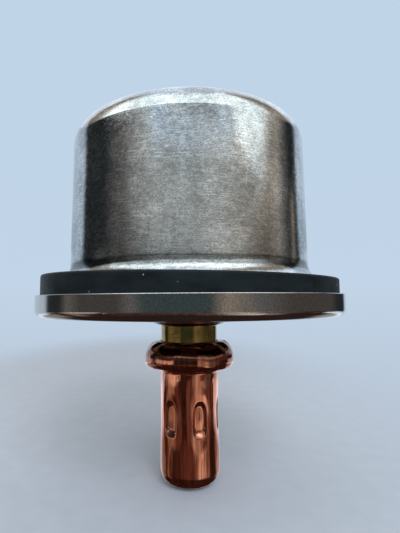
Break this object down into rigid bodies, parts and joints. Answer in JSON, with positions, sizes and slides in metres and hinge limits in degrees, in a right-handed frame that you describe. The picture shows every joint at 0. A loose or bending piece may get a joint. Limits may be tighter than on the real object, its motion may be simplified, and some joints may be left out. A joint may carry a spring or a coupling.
{
  "type": "engine thermostat",
  "caption": "Coolant thermostat with a flanged seat pan, a rubber seal ring, a steel bell that lifts off its seat, and a copper wax capsule below.",
  "frame": {"origin": "centre of the seat pan's top edge, on the axis", "axes": "+Z along the axis from the capsule towards the bell; the stirrup's strap lies in the XZ plane"},
  "size_m": [0.068, 0.068, 0.0801],
  "materials": {
    "stainless": "brushed",
    "spring_steel": "drawn wire",
    "rubber": "satin",
    "brass": "turned",
    "copper": "drawn and slightly tarnished copper",
    "wax": "filled wax"
  },
  "bodies": {
    "seat": {"seat_pan": "stainless", "seal_ring": "rubber", "stirrup": "stainless", "rivet_left": "stainless", "rivet_right": "stainless", "upper_spring_seat": "stainless", "guide": "brass", "retaining_ring": "stainless", "capsule": "copper", "wax_charge": "wax", "diaphragm": "rubber", "return_spring": "spring_steel"},
    "valve": {"bell": "stainless", "spider": "stainless", "lower_spring_seat": "stainless", "thrust_button": "stainless", "piston": "stainless", "plug_disc": "rubber", "plug": "rubber"}
  },
  "joints": [
    {"name": "bell_lift", "type": "slide", "parent": "seat", "child": "valve", "axis": [0, 0, 1], "range_m": [0, 0.0095], "stiffness_N_per_m": 1750, "springref_m": -0.0186, "deforming": ["return_spring"]}
  ]
}
